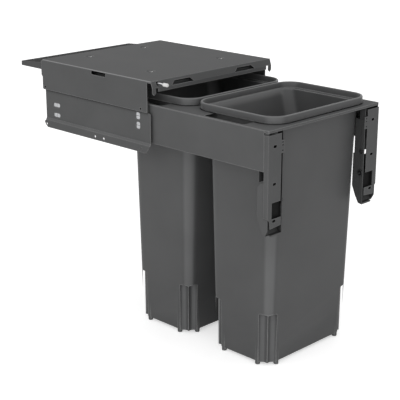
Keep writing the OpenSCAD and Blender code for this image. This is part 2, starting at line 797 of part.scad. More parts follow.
module door_bracket() difference() {
    union() {
        along_y(0, bracket_t) translate([0, -bracket_top]) polygon([
            [0, 0], [bracket_w, 0], [bracket_w, -window_from], [strip_w, -window_from], [strip_w, -tongue_top],
            [bracket_w + tongue_over, -tongue_top], [bracket_w + tongue_over, -tongue_bottom + tongue_over],
            [tongue_in + tongue_over, -tongue_bottom], [tongue_in, -bracket_l - tongue_in], [0, -bracket_l]
        ]);
        box([0, 0, -bracket_top - bracket_l], [bracket_t, flange_d, -bracket_top]);
        box([bracket_w, 0, -bracket_top - clip_top - clip_h], [bracket_w + clip_w, bracket_t, -bracket_top - clip_top]);
    }
    for (n = [0 : 2]) door_slot(-bracket_top - door_hole_down - n * door_hole_pitch);
    for (down = clip_holes) pin_y(-cut, bracket_t + cut, bracket_w + clip_hole_in, -bracket_top - clip_top - down, clip_hole_r);
}

module door_slot(z) along_y(-cut, bracket_t + cut) {
    half = door_slot_l / 2 - door_hole_r;
    translate([door_hole_x - half, z - door_hole_r]) square([2 * half, 2 * door_hole_r]);
    for (x = [-half, half]) translate([door_hole_x + x, z]) circle(door_hole_r);
}

// Side view of the holder below its step, with its tapered lower end
module holder_low_side() polygon(concat(
    [[bracket_t, -holder_step_z], [holder_d, -holder_step_z]],
    [for (n = [0 : 3]) [bracket_t + (holder_d - bracket_t) * holder_back_share[n], -holder_low[n]]],
    [[bracket_t, -holder_low[3]]]
));

module holder_cavity_side() polygon(concat(
    [[-cut, -holder_top_z + cut], [upper_d - bracket_t, -holder_top_z + cut],
     [upper_d - bracket_t, -holder_step_z - bracket_t], [holder_d - bracket_t, -holder_step_z - bracket_t]],
    [for (n = [0 : 2]) [(holder_d - bracket_t) * holder_back_share[n], -holder_low[n] + bracket_t * n / 2]],
    [[-cut, -holder_low[2] + bracket_t]]
));

module bracket_holder() {
    x0 = carrier_t;
    x1 = x0 + holder_w;
    wall_in = x1 - bracket_t;
    difference() {
        union() {
            along_x(x0, x1) holder_low_side();
            along_x(wall_in, x1) polygon([
                [bracket_t, -carrier_t], [neck_d, -carrier_t], [neck_d, -holder_top_z], [upper_d, -holder_top_z],
                [upper_d, -holder_step_z - cut], [bracket_t, -holder_step_z - cut]
            ]);
            box([x0, bracket_t, -holder_step_z - cut], [x0 + bracket_t, flange_d, -carrier_t]);
            box([x0, upper_d - bracket_t, -holder_step_z - cut], [x1, upper_d, -holder_top_z]);
            box([wall_in, bracket_t, -holder_low[1]], [x1 + crease_t, crease_d, -holder_top_z]);
        }
        along_x(x0 + bracket_t, wall_in) holder_cavity_side();
        holder_corner(x0 - cut, x1 - holder_back_w);
        along_x(x0 - cut, x0 + nose_cut_w) polygon(concat(
            [[-cut, -nose_cut[0][1]]], [for (p = nose_cut) [p[0], -p[1]]], [[-cut, -nose_cut[2][1]]]));
        for (z = [screw_low_z, screw_high_z]) pin_x(wall_in - cut, x1 + crease_t + cut, screw_y, -z, screw_r);
    }
}

// Rounds the holder's upper rear corner below the carrier's side panel
module holder_corner(x0, x1) along_x(x0, x1) difference() {
    translate([holder_d - holder_round, -holder_step_z - holder_round]) square([holder_round + cut, holder_round + cut]);
    translate([holder_d - holder_round, -holder_step_z - holder_round]) circle(holder_round);
}

module adjuster_block() {
    x1 = carrier_t + holder_w - bracket_t;
    difference() {
        union() {
            box([x1 - nut_t, nut_y, -screw_low_z - nut_over], [x1, nut_y + nut_d, -screw_high_z + nut_over]);
            box([block_x, block_y[0], -block_z[1]], [x1, block_y[1], -block_z[0]]);
        }
        for (z = [screw_low_z, screw_high_z]) pin_x(x1 - nut_t - cut, x1 + cut, screw_y, -z, screw_r);
    }
}

module adjuster_screws() {
    x0 = carrier_t + holder_w - bracket_t - nut_t;
    x1 = carrier_t + holder_w + crease_t;
    for (s = [[screw_low_z, screw_low_head_r], [screw_high_z, screw_high_head_r]]) difference() {
        union() {
            pin_x(x0, x1, screw_y, -s[0], screw_r);
            pin_x(x1, x1 + screw_head_h, screw_y, -s[0], s[1]);
        }
        pin_x(x1 + screw_head_h / 2, x1 + screw_head_h + cut, screw_y, -s[0], s[1] / 3);
    }
}

module left_bracket_holder() color(powder_grey) placed() bracket_holder();
module right_bracket_holder() color(powder_grey) placed() on_right() bracket_holder();
module left_door_bracket() color(powder_grey) placed() door_bracket();
module right_door_bracket() color(powder_grey) placed() on_right() door_bracket();
module left_adjuster_block() color(powder_grey) placed() adjuster_block();
module right_adjuster_block() color(powder_grey) placed() on_right() adjuster_block();
module left_adjuster_screws() color(steel) placed() adjuster_screws();
module right_adjuster_screws() color(steel) placed() on_right() adjuster_screws();

// Buckets

// A flat rounded slab that hulls are stretched between
module slab(from, to, r, z) {
    thin = bucket_wall / 10;
    translate([0, 0, z]) linear_extrude(thin) round_rect(from, to, r, $fn = hull_fn);
}

// A slab of the body at height z, drawn in by inset on every side
module body_slab(z, inset, r, rear = body_in_rear) {
    share = -z / bucket_h;
    slab(
        [body_in_left + taper_left * share + inset, body_in_front + taper_front * share + inset],
        [rim_w - body_in_right - taper_right * share - inset, rim_d - rear - taper_rear * share - inset],
        r - inset, z);
}

// The body: a wide throat behind the rim, then a straight taper to a chamfered base
module tapered(top, inset, bottom) {
    hull() {
        body_slab(top, inset, body_r, top_in_rear);
        body_slab(-neck_z, inset, body_r);
    }
    hull() {
        body_slab(-neck_z, inset, body_r);
        body_slab(-bucket_h + base_chamfer + inset / 2, inset, base_r);
        body_slab(bottom, inset + base_chamfer, base_r);
    }
}

// Places a shape at each corner of the base, turned to look outwards
module at_corners() {
    mid = [(rim_w + body_in_left - body_in_right + taper_left - taper_right) / 2,
        (rim_d + body_in_front - body_in_rear + taper_front - taper_rear) / 2];
    half = [(rim_w - body_in_left - body_in_right - taper_left - taper_right) / 2 - base_r,
        (rim_d - body_in_front - body_in_rear - taper_front - taper_rear) / 2 - base_r];
    for (sx = [-1, 1], sy = [-1, 1]) translate([mid[0] + sx * half[0], mid[1] + sy * half[1], -bucket_h - foot_h])
        rotate([0, 0, atan2(sy, sx)]) children();
}

module flutes(r, height) at_corners() for (side = [-1, 1])
    translate([base_r - flute_in, side * flute_apart, -cut]) cylinder(r = r, h = height + foot_h + cut);

module lobes() at_corners() for (side = [-1, 1])
    translate([foot_along, side * foot_side, 0]) {
        cylinder(r1 = foot_r * 3 / 4, r2 = foot_r, h = foot_h / 3);
        translate([0, 0, foot_h / 3]) cylinder(r = foot_r, h = flute_h);
    }

module rim_block() {
    hull() {
        slab([0, 0], [rim_w, rim_d], rim_r, rim_foot_h);
        slab([0, 0], [rim_w, rim_d], rim_r, rim_h - rim_crown);
        slab([rim_crown_in, rim_crown_in], [rim_w - rim_crown_in, rim_d - rim_crown_in], rim_r - rim_crown_in, rim_h);
    }
    linear_extrude(2 * rim_foot_h)
        round_rect([rim_foot_in, rim_foot_in], [rim_w - rim_foot_in, rim_d - rim_foot_in], rim_r - rim_foot_in, $fn = hull_fn);
}

module bucket() {
    difference() {
        union() {
            rim_block();
            tapered(ledge_t / 2, 0, -bucket_h);
            lobes();
            for (along = mark_along) pin_y(body_in_front - mark_h, body_in_front + bucket_wall * 2 / 3 + mark_h, along, -mark_down, mark_r);
        }
        translate([0, 0, ledge_t]) linear_extrude(rim_h + cut)
            round_rect([rim_t, rim_t], [rim_w - rim_t, rim_d - rim_t], rim_r - rim_t, $fn = hull_fn);
        difference() {
            tapered(rim_h, bucket_wall, -bucket_h + base_t);
            flutes(flute_r + bucket_wall, flute_h + bucket_wall);
            pin_z(-boss_down - boss_h, -boss_down, boss_along, rim_d - top_in_rear - boss_down, boss_pin_r);
        }
        flutes(flute_r, flute_h);
    }
}

module front_bucket() color(plastic_grey) placed() translate([rim_left, rim_y(0), 0]) bucket();
module rear_bucket() color(plastic_grey) placed() translate([rim_left, rim_y(1), 0]) bucket();

housing_cover();
left_side_plate();
right_side_plate();
left_rail_bracket();
right_rail_bracket();
left_cabinet_rail();
right_cabinet_rail();
left_rail_rivets();
right_rail_rivets();
left_rail_buffer();
right_rail_buffer();
lid_bolts();
damper_cylinder();
damper_holder();
inner_lid();
damper_rod();
damper_tip();
left_middle_rail();
right_middle_rail();
left_rear_ball_cage();
right_rear_ball_cage();
left_rear_balls();
right_rear_balls();
left_front_ball_cage();
right_front_ball_cage();
left_front_balls();
right_front_balls();
carrier_frame();
left_side_panel();
right_side_panel();
rear_panel();
crossbar();
left_carrier_rail();
right_carrier_rail();
left_rail_studs();
right_rail_studs();
left_bracket_holder();
right_bracket_holder();
left_door_bracket();
right_door_bracket();
left_adjuster_block();
right_adjuster_block();
left_adjuster_screws();
right_adjuster_screws();
front_bucket();
rear_bucket();
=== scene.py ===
# %% [markdown]
# A pull-out waste unit for a kitchen cabinet. The measured model already holds every piece
# at its real size. This file dresses it: it gives each surface its finish, models again the
# pieces whose soft edges matter, and sets up a camera that stands where the photographer
# stood.

# %% Load the measured model
import json
import math
import bmesh
import bpy
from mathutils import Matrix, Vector


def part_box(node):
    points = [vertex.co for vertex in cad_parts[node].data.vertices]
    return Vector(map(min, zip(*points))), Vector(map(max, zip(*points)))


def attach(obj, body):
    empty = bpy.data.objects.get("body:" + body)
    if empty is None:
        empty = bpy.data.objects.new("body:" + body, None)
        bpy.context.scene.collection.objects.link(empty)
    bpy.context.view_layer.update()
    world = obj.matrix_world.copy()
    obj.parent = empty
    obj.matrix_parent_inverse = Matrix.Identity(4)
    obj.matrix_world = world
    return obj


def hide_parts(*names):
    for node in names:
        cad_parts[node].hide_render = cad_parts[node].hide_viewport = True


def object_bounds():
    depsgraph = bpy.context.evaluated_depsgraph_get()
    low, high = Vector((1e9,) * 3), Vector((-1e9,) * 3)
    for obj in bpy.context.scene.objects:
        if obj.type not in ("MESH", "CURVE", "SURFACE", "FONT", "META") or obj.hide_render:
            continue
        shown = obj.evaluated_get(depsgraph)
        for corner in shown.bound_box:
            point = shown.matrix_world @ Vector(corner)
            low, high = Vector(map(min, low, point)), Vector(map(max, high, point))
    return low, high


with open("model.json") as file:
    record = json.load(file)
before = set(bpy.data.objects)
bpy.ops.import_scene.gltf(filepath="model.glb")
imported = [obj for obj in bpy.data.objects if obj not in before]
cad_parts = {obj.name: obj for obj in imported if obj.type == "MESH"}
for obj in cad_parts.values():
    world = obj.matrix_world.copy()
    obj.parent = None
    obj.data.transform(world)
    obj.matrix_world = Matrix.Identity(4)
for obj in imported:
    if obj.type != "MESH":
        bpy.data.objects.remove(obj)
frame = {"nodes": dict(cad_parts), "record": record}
cad_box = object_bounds()
nodes = frame["nodes"]
scene = bpy.context.scene
print("loaded", len(nodes), "nodes, box", cad_box)

# %% [markdown]
# The photograph was taken with a long lens from the front left, a little above the unit.
# The place and the angles below were worked out from the straight edges of the sheet
# metal, so nothing here is a guess at a pleasing view.

# %% Place the camera
CAMERA_PLACE = (-1.722, -2.0703, 0.63525)
CAMERA_YAW = 45.44
CAMERA_PITCH = 17.61
FOCAL_PIXELS = 1117.5
PHOTO_PIXELS = 400
SENSOR_WIDTH = 36
FAR_END = 100

camera_data = bpy.data.cameras.new("camera")
camera_data.sensor_width = SENSOR_WIDTH
camera_data.lens = SENSOR_WIDTH * FOCAL_PIXELS / PHOTO_PIXELS
camera_data.clip_end = FAR_END
camera = bpy.data.objects.new("camera", camera_data)
camera.location = CAMERA_PLACE
camera.rotation_euler = (math.radians(90 - CAMERA_PITCH), 0, math.radians(-CAMERA_YAW))
scene.collection.objects.link(camera)
scene.camera = camera
scene.view_settings.view_transform = "Standard"
print("camera with a lens of", round(camera_data.lens, 1), "mm")

# %% [markdown]
# Catalogue light is soft and comes from everywhere, so a bright world does most of it. The
# camera and polished metal see that world as pure white, and as a light it is dimmer.

# %% Build the world
WORLD_LEVEL = 0.72
WHITE = (1, 1, 1, 1)


def link(tree, source, output, target, socket):
    tree.links.new(source.outputs[output], target.inputs[socket])


def build_world():
    world = bpy.data.worlds.new("studio")
    world.use_nodes = True
    tree = world.node_tree
    sky = tree.nodes["Background"]
    sky.inputs["Color"].default_value = WHITE
    sky.inputs["Strength"].default_value = WORLD_LEVEL
    seen = tree.nodes.new("ShaderNodeBackground")
    seen.inputs["Color"].default_value = WHITE
    path = tree.nodes.new("ShaderNodeLightPath")
    seen_share = path.outputs["Is Camera Ray"]
    for ray in ("Is Glossy Ray", "Is Transmission Ray"):
        larger = tree.nodes.new("ShaderNodeMath")
        larger.operation = "MAXIMUM"
        tree.links.new(seen_share, larger.inputs[0])
        tree.links.new(path.outputs[ray], larger.inputs[1])
        seen_share = larger.outputs[0]
    mix = tree.nodes.new("ShaderNodeMixShader")
    tree.links.new(seen_share, mix.inputs[0])
    tree.links.new(sky.outputs[0], mix.inputs[1])
    tree.links.new(seen.outputs[0], mix.inputs[2])
    link(tree, mix, 0, tree.nodes["World Output"], "Surface")
    scene.world = world


build_world()
print("world", scene.world.name)

# %% [markdown]
# Three lamps shape the light. A wide one overhead makes the top a little lighter than the
# sides, one on the left draws the folds, and one beside the camera puts a soft line on each
# upright corner. Each has a size in metres, a power in watts and a place.

# %% Add the lamps
LAMPS = {
    "top_lamp": (2.4, 0.2, (0.2, -0.3, 2.4)),
    "left_lamp": (1.2, 8, (-2.4, -0.4, 1.3)),
    "camera_lamp": (0.8, 10, (-2.2, -2.4, -0.05)),
}
LAMP_TARGET = (0.2, -0.1, -0.2)


def add_lamp(name, size, power, place):
    lamp = bpy.data.lights.new(name, "AREA")
    lamp.shape = "SQUARE"
    lamp.size = size
    lamp.energy = power
    lamp_object = bpy.data.objects.new(name, lamp)
    lamp_object.location = place
    aim = Vector(LAMP_TARGET) - Vector(place)
    lamp_object.rotation_euler = aim.to_track_quat("-Z", "Y").to_euler()
    scene.collection.objects.link(lamp_object)


for lamp_name, (lamp_size, lamp_power, lamp_place) in LAMPS.items():
    add_lamp(lamp_name, lamp_size, lamp_power, lamp_place)
print("lamps", *LAMPS)

# %% [markdown]
# The floor lies just under the feet and keeps the object's soft shadow. To the camera it
# glows a little, so that it meets the white background without a line.

# %% Lay the floor
FLOOR_SIZE = 40
FLOOR_DROP = 0.0005
FLOOR_COLOUR = (0.86, 0.86, 0.86, 1)
FLOOR_ROUGHNESS = 0.9
FLOOR_GLOW = 0.55


def build_floor():
    bpy.ops.object.select_all(action="DESELECT")
    bpy.ops.mesh.primitive_plane_add(size=FLOOR_SIZE, location=(0, 0, cad_box[0][2] - FLOOR_DROP))
    floor = bpy.context.object
    floor.name = "floor"
    material = bpy.data.materials.new("floor_paint")
    material.use_nodes = True
    tree = material.node_tree
    paint = tree.nodes["Principled BSDF"]
    paint.inputs["Base Color"].default_value = FLOOR_COLOUR
    paint.inputs["Roughness"].default_value = FLOOR_ROUGHNESS
    paint.inputs["Emission Color"].default_value = WHITE
    path = tree.nodes.new("ShaderNodeLightPath")
    glow = tree.nodes.new("ShaderNodeMath")
    glow.operation = "MULTIPLY"
    glow.inputs[1].default_value = FLOOR_GLOW
    link(tree, path, "Is Camera Ray", glow, 0)
    link(tree, glow, 0, paint, "Emission Strength")
    floor.data.materials.append(material)
    return floor


print("staged", build_floor().name)

# %% [markdown]
# Effects that many finishes share are groups of nodes. Two short functions make a group
# with its sockets, and add a node with its settings.

# %% Make the tools for node groups
def new_group(name, numbers, outputs):
    group = bpy.data.node_groups.new(name, "ShaderNodeTree")
    for socket, value in numbers.items():
        made = group.interface.new_socket(name=socket, in_out="INPUT",
                                          socket_type="NodeSocketFloat")
        made.default_value = value
    for socket, kind in outputs.items():
        group.interface.new_socket(name=socket, in_out="OUTPUT", socket_type=kind)
    return group, group.nodes.new("NodeGroupInput"), group.nodes.new("NodeGroupOutput")


def add_node(tree, kind, **values):
    """Add a node; a value whose name starts with in_ is for the input with the rest of it."""
    node = tree.nodes.new(kind)
    for key, value in values.items():
        if key.startswith("in_"):
            socket = key[3:].replace("_", " ")
            node.inputs[int(socket) if socket.isdigit() else socket].default_value = value
        else:
            setattr(node, key, value)
    return node

# %% [markdown]
# Powder-coated sheet is a thin, even skin of paint. Its folds and cut edges catch the light as
# a paler line, and that line is put into the colour as a painted highlight. Painting such lines
# by hand would tie them to one mesh. This mask instead compares the true normal with one that
# is rounded over a small radius, and is white where they part, so it finds every edge of every
# piece.

# %% Make the mask for soft edges and painted highlights
EDGE_SAMPLES = 4


def make_edge_and_highlight_group():
    group, inside, outside = new_group(
        "soft_edges_and_painted_highlight", {"Radius": 0.0012, "Band": 0.004, "Gain": 4.0},
        {"Mask": "NodeSocketFloat", "Normal": "NodeSocketVector"})
    rounded = add_node(group, "ShaderNodeBevel", samples=EDGE_SAMPLES)
    link(group, inside, "Radius", rounded, "Radius")
    wide = add_node(group, "ShaderNodeBevel", samples=EDGE_SAMPLES)
    link(group, inside, "Band", wide, "Radius")
    true_normal = add_node(group, "ShaderNodeNewGeometry")
    likeness = add_node(group, "ShaderNodeVectorMath", operation="DOT_PRODUCT")
    link(group, wide, "Normal", likeness, 0)
    link(group, true_normal, "Normal", likeness, 1)
    parting = add_node(group, "ShaderNodeMath", operation="SUBTRACT", in_0=1.0)
    link(group, likeness, "Value", parting, 1)
    gained = add_node(group, "ShaderNodeMath", operation="MULTIPLY", use_clamp=True)
    link(group, parting, 0, gained, 0)
    link(group, inside, "Gain", gained, 1)
    link(group, gained, 0, outside, "Mask")
    link(group, rounded, "Normal", outside, "Normal")
    return group


edge_and_highlight_group = make_edge_and_highlight_group()
print("group", edge_and_highlight_group.name)

# %% [markdown]
# Paint dries to a finely pebbled skin, and no sheet is quite even in tone. The grain group
# puts out a fine height for the first and broad soft patches for the second. The shade group
# tells how closed in a place is by the pieces around it, so that seams and corners can be
# darkened with painted shade.

# %% Make the groups for grain and painted shade
SHADE_SAMPLES = 6


def make_grain_group():
    group, inside, outside = new_group(
        "fine_grain", {"Scale": 900.0, "Patch Scale": 9.0},
        {"Height": "NodeSocketFloat", "Patches": "NodeSocketFloat"})
    place = add_node(group, "ShaderNodeTexCoord")
    fine = add_node(group, "ShaderNodeTexNoise", in_Detail=3.0, in_Roughness=0.6)
    patch = add_node(group, "ShaderNodeTexNoise", in_Detail=4.0, in_Roughness=0.55)
    for noise, name in ((fine, "Scale"), (patch, "Patch Scale")):
        link(group, place, "Object", noise, "Vector")
        link(group, inside, name, noise, "Scale")
    link(group, fine, "Fac", outside, "Height")
    link(group, patch, "Fac", outside, "Patches")
    return group


# Its shade value darkens a colour in seams and corners: painted shade.
def make_painted_shade_group():
    group, inside, outside = new_group(
        "painted_crevice_shade", {"Reach": 0.015, "Closed": 0.0, "Darkest": 0.4}, {"Shade": "NodeSocketFloat"})
    open_sky = add_node(group, "ShaderNodeAmbientOcclusion", samples=SHADE_SAMPLES)
    link(group, inside, "Reach", open_sky, "Distance")
    shade = add_node(group, "ShaderNodeMapRange")
    link(group, open_sky, "AO", shade, "Value")
    link(group, inside, "Closed", shade, "From Min")
    link(group, inside, "Darkest", shade, "To Min")
    link(group, shade, "Result", outside, "Shade")
    return group


grain_group = make_grain_group()
painted_shade_group = make_painted_shade_group()
print("groups", grain_group.name, painted_shade_group.name)

# %% [markdown]
# Masks and heights only become a finish once they steer a colour or a roughness. Noise
# rarely leaves its middle range, so that range is what gets spread over the wanted swing.

# %% Make the tools that steer a finish
NOISE_LOW, NOISE_HIGH = 0.3, 0.7


def span_to(tree, source, low, high, at_low, at_high):
    """Map a value that runs from low to high onto at_low to at_high."""
    span = add_node(tree, "ShaderNodeMapRange")
    for key, value in (("From Min", low), ("From Max", high),
                       ("To Min", at_low), ("To Max", at_high)):
        span.inputs[key].default_value = value
    tree.links.new(source, span.inputs["Value"])
    return span.outputs["Result"]


def noise_to(tree, source, middle, swing):
    return span_to(tree, source, NOISE_LOW, NOISE_HIGH, middle - swing, middle + swing)


def scaled(tree, colour, amount):
    node = add_node(tree, "ShaderNodeVectorMath", operation="SCALE")
    tree.links.new(colour, node.inputs[0])
    tree.links.new(amount, node.inputs["Scale"])
    return node.outputs["Vector"]

# %% [markdown]
# A finish is one material. Its colour starts from the paint, is mixed towards a paler tone
# along edges as a painted highlight, swings a little in broad patches, and darkens in closed
# places as painted shade. Roughness follows the same patches, and the fine grain becomes a
# shallow relief. One function makes them all, because paint, plastic and steel differ in
# their numbers only.

# %% Make a finish from the groups
GRAIN_DEPTH = 0.0004


def make_finish(name, colour, pale, roughness, metallic=0.0, specular=0.5, grain=900.0,
                patches=9.0, bump=0.05, swing=0.06, rough_swing=0.06, edge_radius=0.0012,
                edge_band=0.0015, edge_gain=10.0, edge_blend=0.5, reach=0.012, closed=0.0,
                darkest=0.2):
    material = bpy.data.materials.new(name)
    material.use_nodes = True
    tree = material.node_tree
    shader = tree.nodes["Principled BSDF"]
    shader.inputs["Metallic"].default_value = metallic
    shader.inputs["Specular IOR Level"].default_value = specular
    edges = add_node(tree, "ShaderNodeGroup", node_tree=edge_and_highlight_group, in_Radius=edge_radius,
                     in_Band=edge_band, in_Gain=edge_gain)
    grains = add_node(tree, "ShaderNodeGroup", node_tree=grain_group, in_Scale=grain,
                      in_Patch_Scale=patches)
    painted_crease_shade = add_node(tree, "ShaderNodeGroup", node_tree=painted_shade_group, in_Reach=reach,
                       in_Closed=closed, in_Darkest=darkest)
    # Along edges the colour is mixed towards the pale tone: a painted highlight.
    base = add_node(tree, "ShaderNodeMix", data_type="RGBA", in_A=(*colour, 1), in_B=(*pale, 1))
    amount = add_node(tree, "ShaderNodeMath", operation="MULTIPLY", in_1=edge_blend)
    link(tree, edges, "Mask", amount, 0)
    link(tree, amount, 0, base, "Factor")
    patch = grains.outputs["Patches"]
    patchy = scaled(tree, base.outputs["Result"], noise_to(tree, patch, 1, swing))
    # Closed places darken the colour here: painted shade.
    shaded = scaled(tree, patchy, painted_crease_shade.outputs["Shade"])
    tree.links.new(shaded, shader.inputs["Base Color"])
    tree.links.new(noise_to(tree, patch, roughness, rough_swing), shader.inputs["Roughness"])
    relief = add_node(tree, "ShaderNodeBump", in_Strength=bump, in_Distance=GRAIN_DEPTH)
    link(tree, grains, "Height", relief, "Height")
    link(tree, edges, "Normal", relief, "Normal")
    link(tree, relief, "Normal", shader, "Normal")
    return material

# %% [markdown]
# Some finishes also follow the way a face looks, which paints light and shade into their
# colour. The first measure tells how far a face looks in one direction. The second tells how
# far it turns between the main directions, as a bend in sheet or a rounded corner does.

# %% Shade a finish by the way a face looks
def shade_by(material, measure, low, high, amount):
    """Scale the base colour from 1 to amount as the measure goes from low to high."""
    tree = material.node_tree
    colour = tree.nodes["Principled BSDF"].inputs["Base Color"]
    source = colour.links[0].from_socket
    tree.links.new(scaled(tree, source, span_to(tree, measure, low, high, 1, amount)), colour)


def combined(tree, operation, first, second):
    """Join two vectors, each given as an output or as three numbers."""
    node = add_node(tree, "ShaderNodeVectorMath", operation=operation)
    for place, given in enumerate((first, second)):
        if isinstance(given, tuple):
            node.inputs[place].default_value = given
        else:
            tree.links.new(given, node.inputs[place])
    return node.outputs["Value" if operation == "DOT_PRODUCT" else "Vector"]


def true_normal_of(tree):
    return add_node(tree, "ShaderNodeNewGeometry").outputs["Normal"]


def looking(tree, direction):
    return combined(tree, "DOT_PRODUCT", true_normal_of(tree), direction)


def turning(tree, weights):
    normal = true_normal_of(tree)
    squares = combined(tree, "MULTIPLY", normal, normal)
    rest = combined(tree, "SUBTRACT", (1, 1, 1), squares)
    return combined(tree, "DOT_PRODUCT", combined(tree, "MULTIPLY", squares, rest), weights)

# %% [markdown]
# Three families of finish use these measures. Bucket plastic gets a painted highlight on
# every rounded corner, powder coat gets one on its bends, and the lid's top gets painted
# shade, so it is dark where its rims are light.

# %% Make the families of finish
HIGHLIGHT_GREY = (0.36, 0.36, 0.362)
TURN_LOW, TURN_HIGH = 0.05, 0.17
ALL_TURNS, SIDE_TURNS = (0.5, 0.5, 0.5), (1, 0, 0)
BUCKET_CORNER_HIGHLIGHT = 1.5
UP, UP_LOW, UP_HIGH, LID_TOP_PAINTED_SHADE = (0, 0, 1), 0.3, 0.6, 0.12


def make_bucket_finish(name):
    plastic = make_finish(name, (0.09, 0.091, 0.092), HIGHLIGHT_GREY, 0.42, specular=0.35, grain=1600,
                          bump=0.03, edge_radius=0.002, edge_band=0.004, edge_gain=6,
                          reach=0.004, darkest=0.8)
    # Rounded corners are made paler: a painted highlight.
    measure = turning(plastic.node_tree, ALL_TURNS)
    shade_by(plastic, measure, TURN_LOW, TURN_HIGH, BUCKET_CORNER_HIGHLIGHT)
    return plastic


def make_coat(name, bend_highlight, **others):
    settings = dict(specular=0.04, edge_band=0.003, reach=0.005, closed=0.35, darkest=0.02)
    settings.update(others)
    coat = make_finish(name, (0.112, 0.113, 0.114), HIGHLIGHT_GREY, 0.6, **settings)
    # Bends are made paler: a painted highlight.
    shade_by(coat, turning(coat.node_tree, SIDE_TURNS), TURN_LOW, TURN_HIGH, bend_highlight)
    return coat


def make_lid_finish():
    plastic = make_finish("lid_plastic", (0.1, 0.101, 0.102), (0.3, 0.3, 0.302), 0.6,
                          specular=0.04, grain=1400, reach=0.02, darkest=0.05)
    # Faces that look up are darkened: painted shade on the lid's top.
    shade_by(plastic, looking(plastic.node_tree, UP), UP_LOW, UP_HIGH, LID_TOP_PAINTED_SHADE)
    return plastic

# %% [markdown]
# Now each material slot of the record gets its finish. The first colour is the surface, the
# second the paler colour of its painted edge highlight, and the number after them is the
# roughness.

# %% Make the finishes
BRIGHT_HIGHLIGHT = (0.9, 0.9, 0.9)

FINISHES = {
    "dark_grey_powder_coat": make_coat("powder_coat", 1.2),
    "bucket_plastic": make_bucket_finish("bucket_plastic"),
    "lid_plastic": make_lid_finish(),
    "zinc_plated_steel": make_finish(
        "zinc_plating", (0.74, 0.75, 0.77), BRIGHT_HIGHLIGHT, 0.34, metallic=1, patches=30,
        swing=0.1, bump=0.02, reach=0.005, darkest=0.1),
    "bright_steel": make_finish(
        "bright_steel", (0.8, 0.8, 0.82), BRIGHT_HIGHLIGHT, 0.2, metallic=1, patches=60, bump=0.01),
    "dark_screw_steel": make_finish(
        "dark_screw_steel", (0.05, 0.05, 0.052), (0.3, 0.3, 0.3), 0.35, metallic=1, patches=80),
    "white_plastic": make_finish(
        "white_plastic", (0.8, 0.8, 0.79), (0.85, 0.85, 0.85), 0.4, darkest=0.6),
    "black_plastic": make_finish(
        "black_plastic", (0.008, 0.008, 0.008), (0.03, 0.03, 0.03), 0.6, specular=0.1),
    "black_rubber": make_finish(
        "black_rubber", (0.02, 0.02, 0.02), (0.03, 0.03, 0.03), 0.75),
}
print("finishes", *FINISHES)

# %% [markdown]
# The record says which slot each piece has. Four kinds of coated sheet then get a coat of
# their own: the cover gets a painted highlight along its long bend, the side plates a line of
# painted shade as a dark seam under the cover, the door brackets fainter painted edge
# highlights, and the holders painted shade from the nearby bucket.

# %% Dress the pieces
for entry in frame["record"]["subparts"]:
    node = nodes[entry["node"]]
    node.data.materials.clear()
    node.data.materials.append(FINISHES[entry["material_slot"]])

# Each coat paints light or shade: a bright bend, a shaded seam, fainter edge highlights, the
# bucket's shade.
OTHER_COATS = (
    (make_coat("cover_coat_painted_bend", 2.2), ("housing_cover",)),
    (make_coat("plate_coat_painted_seam", 1.3, reach=0.01, closed=0.55),
     ("left_side_plate", "right_side_plate")),
    (make_coat("bracket_coat", 1.2, edge_blend=0.25),
     ("left_door_bracket", "right_door_bracket")),
    (make_coat("holder_coat_painted_shade", 1, edge_blend=0.05, reach=0.3, closed=0.1, darkest=0.3),
     ("left_bracket_holder", "right_bracket_holder")),
)
for coat, coated in OTHER_COATS:
    for name in coated:
        nodes[name].data.materials[0] = coat

# %% [markdown]
# Several steps below start with the same moves: nothing selected, one piece made active,
# and in edit mode a few vertices chosen. Vertices are chosen by where they are, as one
# would with a box selection by hand, because their numbers change with every edit.

# %% Make the tools for selecting
MM = 0.001


def start_clean():
    if bpy.context.object and bpy.context.object.mode != "OBJECT":
        bpy.ops.object.mode_set(mode="OBJECT")
    bpy.ops.object.select_all(action="DESELECT")


def pick(piece):
    start_clean()
    piece.select_set(True)
    bpy.context.view_layer.objects.active = piece


def select_in_edit(piece, wanted):
    """Select the vertices for which wanted(vertex) is true, and nothing else."""
    mesh = bmesh.from_edit_mesh(piece.data)
    bpy.ops.mesh.select_all(action="DESELECT")
    for vertex in mesh.verts:
        vertex.select_set(wanted(vertex))
    mesh.select_flush_mode()
    bmesh.update_edit_mesh(piece.data)

# %% [markdown]
# A cut with another object, a join, and a clean finish come up again and again too. The
# exact solver is the one that holds where a tool's face nearly lies in the piece's face.
# A finished piece sits at the origin, is smooth but for its real edges, and knows the
# body it moves with and the measured piece that it stands for.

# %% Make the tools for cutting and finishing
SMOOTH_ANGLE = math.radians(35)
SAME_PLACE = 0.01 * MM


def cut_with(piece, tool, operation="DIFFERENCE"):
    """Cut or join with a tool object, which is then deleted."""
    pick(piece)
    step = piece.modifiers.new("cut", "BOOLEAN")
    step.operation, step.solver, step.object = operation, "EXACT", tool
    bpy.ops.object.modifier_apply(modifier=step.name)
    pick(tool)
    bpy.ops.object.delete()


def join(pieces):
    start_clean()
    for piece in pieces:
        piece.select_set(True)
    bpy.context.view_layer.objects.active = pieces[0]
    bpy.ops.object.join()
    return pieces[0]


